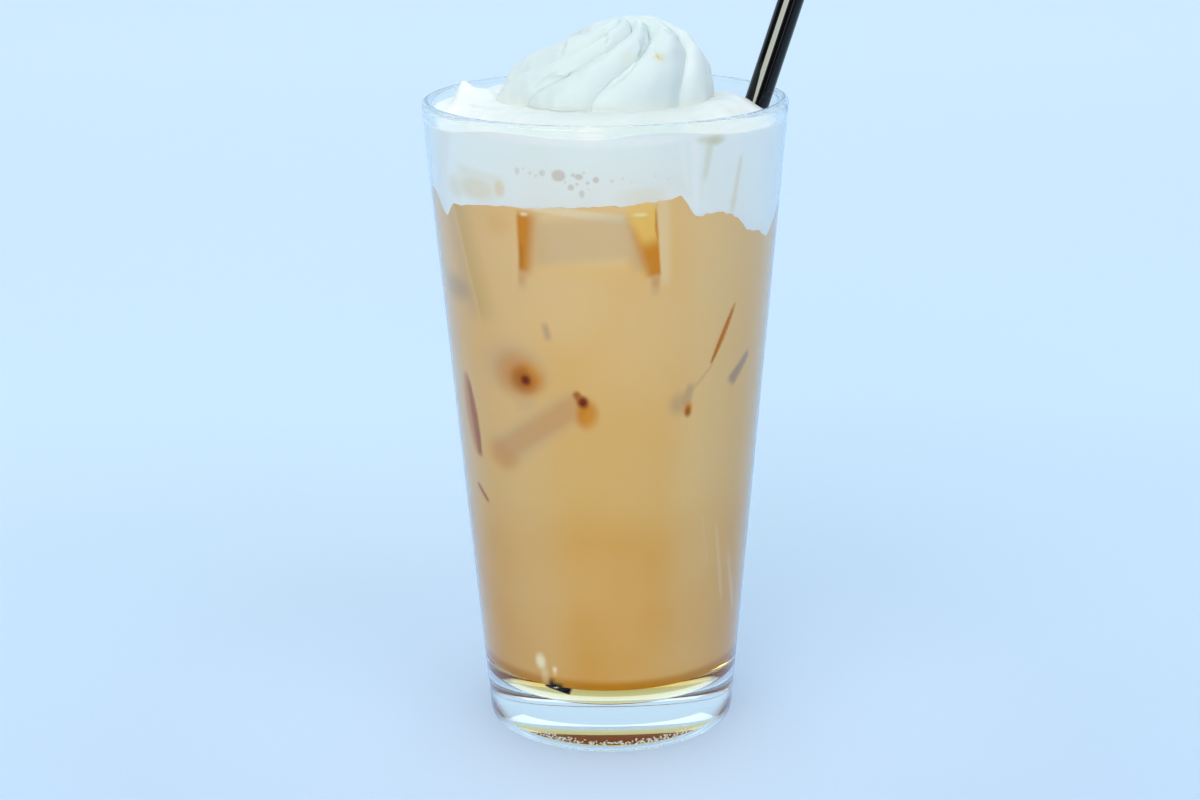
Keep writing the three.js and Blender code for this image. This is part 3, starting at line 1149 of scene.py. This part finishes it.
def shelf_height(x, y):
    """Height of the shelf: level, with a dip behind the straw, and bent down to the wall.

    The dip is a bell curve of the angle and eases in outwards. Beyond the swirl the height
    blends down to the edge at the lip by the square of an eased share.
    """
    angle = np.arctan2(y, x)
    radius = np.hypot(x, y)
    off = (np.degrees(angle) - shelf_drop_angle) / shelf_drop_width
    near_wall = smooth((radius - shelf_drop_start) / shelf_drop_reach)
    level = shelf_level - shelf_drop_at_straw * np.exp(-off * off) * near_wall
    outward = smooth((radius - swirl_radius) / (cavity_top_radius - swirl_radius))
    edge = np.minimum(level_at(cream_lip_stations, angle), level)
    return mix(level, edge, outward * outward) + raised_height(x, y)


print("shelf of cream", shelf_level, "mm up")

# %% Swirl of cream
swirl_apex_x = 3.5
swirl_height = 18.8
swirl_twist = 1.9
left_spread, right_spread = 1.05, 2.5
left_rise, right_rise = 1.8, 2.5
fold_valleys = np.array([0.07, 1.1, 1.8, 3.0, 4.2, 5.6, 6.35])
fold_depth = 0.2
fold_outline = 0.07
fold_power = 0.8
fold_start = 0.4


def fold_share(turn):
    """Share of the way across a fold, from one valley at 0 to the next at 1.

    Valleys are given in sevenths of a turn: turn times count over two pi is set between them.
    """
    count = len(fold_valleys)
    place = (turn * count / (2 * np.pi) - fold_valleys[0]) % count + fold_valleys[0]
    closed = np.append(fold_valleys, fold_valleys[0] + count)
    i = np.clip(np.searchsorted(closed, place, side="right") - 1, 0, count - 1)
    return (place - closed[i]) / (closed[i + 1] - closed[i])


def swirl_points(share):
    """Rings of the swirl: share is 0 at the apex and 1 at the foot, and each ray keeps one fold.

    A ray reaches from the apex to a circle round the glass's axis. The height is one less share
    to the power spread, all to the power one over rise, and both powers grow to the right. A
    fold's lobe is half a sine wave to a power, and the valleys beside it are lower and drawn in.
    """
    turn = content_angles + swirl_twist
    angle = turn - swirl_twist * share
    lobe = np.abs(np.sin(np.pi * fold_share(turn))) ** fold_power
    valley = (1 - lobe) * smooth(share / fold_start)
    along = -swirl_apex_x * np.cos(angle)
    reach = along + np.sqrt(swirl_radius**2 - swirl_apex_x**2 + along**2)
    reach = reach * (1 - fold_outline * valley)
    right = 0.5 + 0.5 * np.cos(angle)
    spread = mix(left_spread, right_spread, right)
    rise = mix(left_rise, right_rise, right)
    fullness = np.maximum(1 - share**spread, 0.0) ** (1 / rise)
    x = swirl_apex_x + share * reach * np.cos(angle)
    y = share * reach * np.sin(angle)
    z = shelf_height(x, y) + swirl_height * fullness * (1 - fold_depth * valley)
    return np.stack([x, y, z], -1)


print("swirl of cream", len(fold_valleys), "folds")

# %% [markdown]
# ### Creases and lumps
#
# Piped cream lies in layers, and the edge of each layer is a crease: a lifted lip over a short
# drop. The creases run where the photograph shows them, as lines through space, so they could
# be pressed into the grid without changing it. Between them the surface is a little uneven.

# %% Lines of the creases
creases = [
    ([(-3.2, 2.7, 175.9), (-5.6, -3.6, 174.8), (-8.1, -4.4, 172.8), (-10.4, -10.3, 171.9),
      (-12.4, -11.1, 170.7), (-15.2, -10.3, 169.4), (-17.8, -9.5, 167.9)], 0.9),
    ([(-0.3, -4.1, 176.2), (0.5, -9.7, 175.6), (0.9, -16.6, 173.3), (-1.2, -19.3, 171.6),
      (-6.2, -20.2, 169.3), (-11.2, -18.2, 167.6), (-16, -17.2, 165), (-19.3, -17, 162.1)], 1.1),
    ([(7.5, -8.4, 177.1), (8.5, -13.7, 172.9), (7.9, -17.4, 170.8), (6.7, -20.2, 169.6),
      (4.5, -23.1, 167.3), (1.7, -24.4, 165.2), (-2.7, -23.5, 164.7)], 1),
    ([(8.3, -11.9, 174.9), (10.8, -14, 173.1), (12.1, -16.9, 172.4), (12.9, -18.2, 171.2),
      (15.1, -18.1, 168.8)], 0.7),
    ([(8.7, -0.6, 177.8), (13.3, -5.8, 176.7), (16.5, -8, 174.5), (19.3, -12.6, 168.9)], 0.9),
    ([(-21.9, -6.3, 165.6), (-24.1, -2.8, 164.3), (-25.1, -3.4, 162.8), (-24.3, -6.9, 161.4),
      (-22.3, -11.1, 160.8)], 0.7),
    ([(24.4, -9.3, 165.3), (25.6, -10.8, 162), (26.3, -11.3, 159.3)], 0.6),
    ([(-29.5, -14.6, 159.6), (-16, -23.6, 160), (-6, -26.2, 160), (4.2, -26.3, 160)], 0.7),
    ([(-33.5, -8, 159.4), (-30, -14, 159.2), (-25, -19.5, 159), (-26.5, -21.5, 158.5)], 0.7),
]
print("creases", len(creases))

# %% Relief of the creases
crease_width = 0.45
crease_sink = 0.7
fold_lift = 0.6
fold_lift_from = 0.3
fold_reach = 2.6
fade_in = 0.15
fade_out = 0.3


def crease_relief(points):
    """How far the folds lift or sink the surface at each point, in millimetres.

    On the side of the apex a fold is lifted and sinks away over a few millimetres. On the other
    side it drops at once, as the edge of a layer that lies over the next one. The crease itself
    is a narrow bell curve of the distance to the line. All fade out towards the line's ends.
    """
    top = np.array([swirl_apex_x, 0.0, shelf_level + swirl_height])
    relief = np.zeros(points.shape[:-1])
    for line, depth in creases:
        corners = np.array(line, float)
        spans = np.linalg.norm(np.diff(corners, axis=0), axis=1)
        passed = np.concatenate([[0.0], np.cumsum(spans)]) / spans.sum()
        nearest = np.full(points.shape[:-1], np.inf)
        side = np.zeros(points.shape[:-1])
        along = np.zeros(points.shape[:-1])
        for i, span in enumerate(spans):
            run = corners[i + 1] - corners[i]
            share = np.clip(((points - corners[i]) @ run) / span**2, 0, 1)
            foot = corners[i] + share[..., None] * run
            away = np.linalg.norm(points - foot, axis=-1)
            closer = away < nearest
            towards = np.einsum("...k,...k->...", points - foot, top - foot)
            nearest = np.where(closer, away, nearest)
            side = np.where(closer, np.sign(towards), side)
            along = np.where(closer, mix(passed[i], passed[i + 1], share), along)
        fade = smooth(along / fade_in) * smooth((1 - along) / fade_out)
        begun = 1 - np.exp(-((nearest / fold_lift_from) ** 2))
        lifted = np.where(side > 0, fold_lift * np.exp(-nearest / fold_reach) * begun, 0.0)
        sunk = crease_sink * np.exp(-((nearest / crease_width) ** 2))
        relief += depth * fade * (lifted - sunk)
    return relief


print("a crease sinks up to", crease_sink * max(depth for _, depth in creases), "mm")

# %% Lumps
lumps = [
    ((0.9, 0.3, 0.4), 0.3, 0.14), ((-0.4, 1.1, 0.5), 1.9, 0.12), ((0.5, -0.6, 1.3), 4.2, 0.12),
    ((1.5, 0.9, -0.6), 2.7, 0.08), ((-1.3, 1.2, 1.1), 5.6, 0.07), ((2.1, -1.7, 1.4), 0.9, 0.05),
]
lump_pace = 0.55


def lump_relief(points):
    """Gentle unevenness: a sum of slow waves through space, each with its own direction."""
    return sum(
        rise * np.sin(points @ np.array(way) * lump_pace + phase) for way, phase, rise in lumps
    )


print("waves of lumps", len(lumps))

# %% [markdown]
# ### Drips, foam and stains
#
# Under the rim the cream touches the glass, and coffee has run and frothed between them. These
# are marks on the wall again. Stains on the swirl are round spots in space, so that they lie on
# whatever fold is there.

# %% Marks on the cream
cream_marks = {}
cream_marks["drip"] = ("#f5efe8", 1.0, [
    bar((-61.6, 155.7), (-59.9, 137.2), (0.4, 0.3), (1.3, 1.3, 3), 0.9),
    bar((-57.2, 154), (-56.6, 141), (0.1, 0.1), (0.9, 0.9, 4), 0.6),
    bar((-66, 153), (-63, 142), (0.2, 0.1), (1.2, 1.2, 4), 0.35),
    bar((-151.3, 155.5), (-160.6, 133.5), (1.6, 1.8), (2.6, 2.2, 3), 0.75),
    bar((-95, 158), (-95, 154.6), (3, 0.2), (2.2, 2.2, 1.4), 0.9),
    bar((-142, 156.2), (-95, 155), (0.5, 0.6), (0.9, 1, 5), 0.7),
    bar((-95, 155), (-36, 156.2), (0.6, 0.5), (1, 0.9, 5), 0.7),
    bar((-70, 142.3), (-24, 129), (0.2, 1.2), (2, 2.2, 3), 0.6),
    bar((-50, 150), (-40, 140), (0.2, 0.2), (2.4, 2.4, 4), 0.3),
], [])
cream_marks["beige"] = ("#ecdcc0", 1.1, [
    bar((-42.6, 148.3), (-44.7, 137.5), (0.1, 0.3), (0.9, 0.9, 2.5), 0.75),
    bar((-43.8, 139.6), (-45.4, 138.6), (0.5, 0.3), (0.9, 0.9, 0.9), 0.6),
    bar((-142, 146), (-128, 145), (0.6, 0.6), (2, 2, 4), 0.4),
], [
    (-136.5, 142.6, 6, 2.8, 0.8), (-147, 142, 3.4, 2.6, 0.5),
])
cream_marks["peach"] = ("#ecd0ac", 0.9, [], [
    (-126.2, 143.3, 1.4, 1.9, 0.7), (-78, 142.4, 6, 2, 0.3),
])
cream_marks["olive"] = ("#d3c6a0", 1.3, [
    bar((-56, 153.2), (-57, 147), (0.4, 0.1), (1.4, 1.2, 3.4), 0.4),
    bar((-64.6, 158.4), (-48, 158.4), (0.1, 0.1), (0.4, 0.4, 2), 0.5),
], [
    (-54.6, 154.2, 2.6, 1.1, 0.75), (-57.6, 154.6, 2.2, 0.8, 0.5),
])
cream_marks["bubble"] = ("#d8c6b6", 0.45, [], [
    (-105.1, 147.5, 1.6, 1.35, 1), (-100.4, 147.7, 0.5, 0.5, 0.8), (-98.6, 147.3, 0.9, 0.7, 1),
    (-93.3, 146.6, 0.7, 0.7, 1), (-110.4, 147.9, 0.7, 0.7, 0.7), (-101.2, 144.8, 0.7, 0.7, 0.9),
    (-97.8, 143.3, 0.6, 0.9, 0.8), (-95.8, 145.9, 0.4, 0.4, 0.8),
    (-114.5, 147.7, 0.4, 0.4, 0.6), (-99.2, 145.6, 0.4, 0.4, 0.8), (-119.1, 148, 0.5, 0.9, 0.6),
    (-88.3, 146.3, 0.4, 0.4, 0.6), (-112.6, 147.2, 0.35, 0.35, 0.5),
    (-85, 146.9, 0.3, 0.3, 0.5), (-103, 146, 0.3, 0.3, 0.6), (-97, 148.3, 0.3, 0.3, 0.6),
    (-95.6, 144.4, 0.25, 0.25, 0.6), (-116.8, 148.6, 0.3, 0.3, 0.5),
    (-82.3, 146, 0.3, 0.3, 0.4), (-74.6, 147.1, 0.3, 0.3, 0.4), (-70.2, 146.2, 0.25, 0.25, 0.4),
])
print("bubbles", len(cream_marks["bubble"][3]))

# %% Stains on the cream
stain_layer = {"stain": ("#e6d6a2",)}
stains = [
    (12.7, -18.4, 171.2, 1.3, 0.9), (12.2, -18, 172.6, 0.9, 0.5), (18.4, -14.3, 159.4, 1, 0.8),
    (4.9, -18.4, 170.9, 1.6, 0.3), (-2.3, -13.2, 171.8, 1.8, 0.35), (26.8, 8, 158.2, 2.5, 0.3),
    (17.6, -19.4, 166.8, 0.5, 0.5),
]


def stains_shown(points):
    """Coffee stains: bell curves in space. A row is a place, a radius and a strength."""
    shown = np.zeros(points.shape[:-1])
    for x, y, z, radius, strength in stains:
        far = np.linalg.norm(points - np.array([x, y, z]), axis=-1) / radius
        shown = np.maximum(shown, strength * np.exp(-far * far))
    return shown


print("stains", len(stains))

# %% Cream material
cream_shade_low = 138.0
cream_shade_high = 178.0
side_light_from = 16.0
side_light_to = 40.0


def cream_material():
    """Whipped cream: fat foam that scatters light inside, so it looks soft and satin.

    Next to the coffee it is stained a little warmer, and it is whitest at the glass's lip. Away
    from the middle it is mixed towards white, as painted light that lifts the shade at its sides.
    """
    material, tree = new_material("whipped_cream")
    place = add(tree, "ShaderNodeTexCoord")
    split = add(tree, "ShaderNodeSeparateXYZ", Vector=place.outputs["Object"])
    height = add(
        tree, "ShaderNodeMapRange", Value=split.outputs["Z"],
        From_Min=cream_shade_low * MM, From_Max=cream_shade_high * MM,
    )
    white = add(tree, "ShaderNodeValToRGB", Fac=height.outputs["Result"])
    white.color_ramp.elements[0].color = linear("#ede4d9")
    white.color_ramp.elements[1].color = linear("#dce8e7")
    for share, colour in (
        (0.18, "#ede7dc"), (0.27, "#ece9df"), (0.42, "#ebebe3"), (0.5, "#e2e7e2"), (0.6, "#dbe6e4")
    ):
        white.color_ramp.elements.new(share).color = linear(colour)
    # Painted light: towards both sides the cream is mixed towards white, lifting the shade there.
    aside = add(tree, "ShaderNodeMath", {"operation": "ABSOLUTE"}, _0=split.outputs["X"])
    side = add(
        tree, "ShaderNodeMapRange", Value=aside.outputs[0],
        From_Min=side_light_from * MM, From_Max=side_light_to * MM,
    )
    painted_side_light = add(
        tree, "ShaderNodeMix", {"data_type": "RGBA"}, Factor=side.outputs["Result"],
        _6=white.outputs["Color"], _7=linear("#fafbf6"),
    )
    marked = layered(tree, layered(tree, painted_side_light.outputs[2], cream_marks), stain_layer)
    return finished(
        material, Base_Color=marked, Roughness=0.5, Specular_IOR_Level=0.3,
        Subsurface_Weight=0.3, Subsurface_Radius=(1.0, 0.9, 0.8), Subsurface_Scale=1.2 * MM,
    )


print("the cream's white changes from", cream_shade_low, "to", cream_shade_high, "mm up")

# %% Cream at the wall
wall_rows = 60
wall_gap = 0.03
cream_sink = 0.4
foot_lift = 0.3
foot_shares = np.array([[0.3], [0.6], [0.85], [0.97]])

cream_low = foot_level(content_angles) - cream_sink
cream_high = level_at(cream_lip_stations, content_angles)
wall_z = mix(cream_low, cream_high, np.linspace(0, 1, wall_rows)[:, None])
wall_rings = around(cavity_radius(wall_z) + wall_reach - wall_gap, content_angles, wall_z)
foot_rings = foot_points(foot_shares, 0.0, foot_lift)
under_cream = len(foot_rings) + len(wall_rings)
print("rings under and beside the cream", under_cream)

# %% Cream above the wall
shelf_rows = 36
swirl_rows = 120
relief_margin = 1.0
relief_fade = 4.0

swirl_edge = swirl_points(1.0)
shelf_share = np.linspace(0, 1, shelf_rows + 1)[1:, None]
shelf_x = mix(wall_rings[-1, :, 0], swirl_edge[:, 0], shelf_share)
shelf_y = mix(wall_rings[-1, :, 1], swirl_edge[:, 1], shelf_share)
shelf_rings = np.stack([shelf_x, shelf_y, shelf_height(shelf_x, shelf_y)], -1)
swirl_share = np.sin(np.pi / 2 * np.arange(swirl_rows - 1, 0, -1) / swirl_rows)
swirl_rings = swirl_points(swirl_share[:, None])
cream_rings = np.concatenate([foot_rings, wall_rings, shelf_rings, swirl_rings])


def grid_normals(rings):
    """Outward normals of a grid: the cross product of the steps round a ring and between rings."""
    down = np.gradient(rings, axis=0)
    onward = np.roll(rings, -1, axis=1) - np.roll(rings, 1, axis=1)
    normals = np.cross(onward, down)
    return normals / np.maximum(np.linalg.norm(normals, axis=-1, keepdims=True), 1e-9)


free = cream_rings[under_cream:]
to_wall = cavity_top_radius - relief_margin - np.hypot(free[..., 0], free[..., 1])
relief = smooth(to_wall / relief_fade) * (crease_relief(free) + lump_relief(free))
cream_rings[under_cream:] += grid_normals(cream_rings)[under_cream:] * relief[..., None]
print("relief from", relief.min(), "to", relief.max(), "mm")

# %% Cream
marked_shelf_rows = 6
apex_lift = 0.02
apex = cream_rings[-1].mean(axis=0) + np.array([0, 0, apex_lift])
cream = stacked_piece(
    "whipped_cream_swirl", cream_rings, (0, 0, cream_foot_level + foot_lift), apex,
    cream_material(),
)
give_marks(cream, cream_rings, cream_marks, under_cream + marked_shelf_rows)
stained = stains_shown(cream_rings)
stained[:under_cream] = 0.0
give(cream, "stain", stained)
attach(cream, "root")
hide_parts("whipped_cream")
print("cream faces", len(cream.data.polygons))

# %% [markdown]
# ## Straw
#
# The straw is extruded black plastic with a high gloss. It stands on the glass's floor and
# leans on the lip. A profile of its wall is carried round its axis, and both ends are rounded
# a little, as a cut and heat-softened end is.

# %% Straw's finish and sizes
straw_radius = 3.1
straw_wall = 0.45
straw_length = 197.0
straw_foot = np.array([-12.2, -21.3, 14.5])
straw_at_rim = np.array([38.0, 4.6, glass_height])


def straw_material():
    """Glossy black polypropylene: no colour of its own, only sharp highlights."""
    material, _ = new_material("extruded_black_plastic")
    return finished(
        material, Base_Color=linear("#030303"), Roughness=0.04, IOR=1.49, Specular_IOR_Level=0.35
    )


print("straw", straw_length, "mm long")

# %% Straw
end_steps = 8
straw_middle = straw_radius - straw_wall / 2
straw_round = straw_wall / 2
straw_profile = np.concatenate([
    arc(straw_middle, straw_round, straw_round, -math.pi, 0, end_steps),
    straight((straw_radius, straw_round), (straw_radius, straw_length - straw_round)),
    arc(straw_middle, straw_length - straw_round, straw_round, 0, math.pi, end_steps),
    straight(
        (straw_radius - straw_wall, straw_length - straw_round),
        (straw_radius - straw_wall, straw_round),
    ),
])
straw_sides = 64
straw_rings = turned_rings(straw_profile, ring_angles(straw_sides))
straw_axis = unit(straw_at_rim - straw_foot)
straw_side = unit(np.cross([0, 0, 1.0], straw_axis))
straw_axes = np.array([straw_side, np.cross(straw_axis, straw_side), straw_axis])
straw_points = straw_rings.reshape(-1, 3) @ straw_axes + straw_foot
# One ring more than there are, and its point numbers start again: the last joins the first.
straw_faces = np.array(ring_faces(len(straw_profile) + 1, straw_sides)) % len(straw_points)
straw = mesh_piece("black_straw", straw_points, straw_faces.tolist(), straw_material())
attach(straw, "root")
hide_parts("straw")
print("straw faces", len(straw.data.polygons))
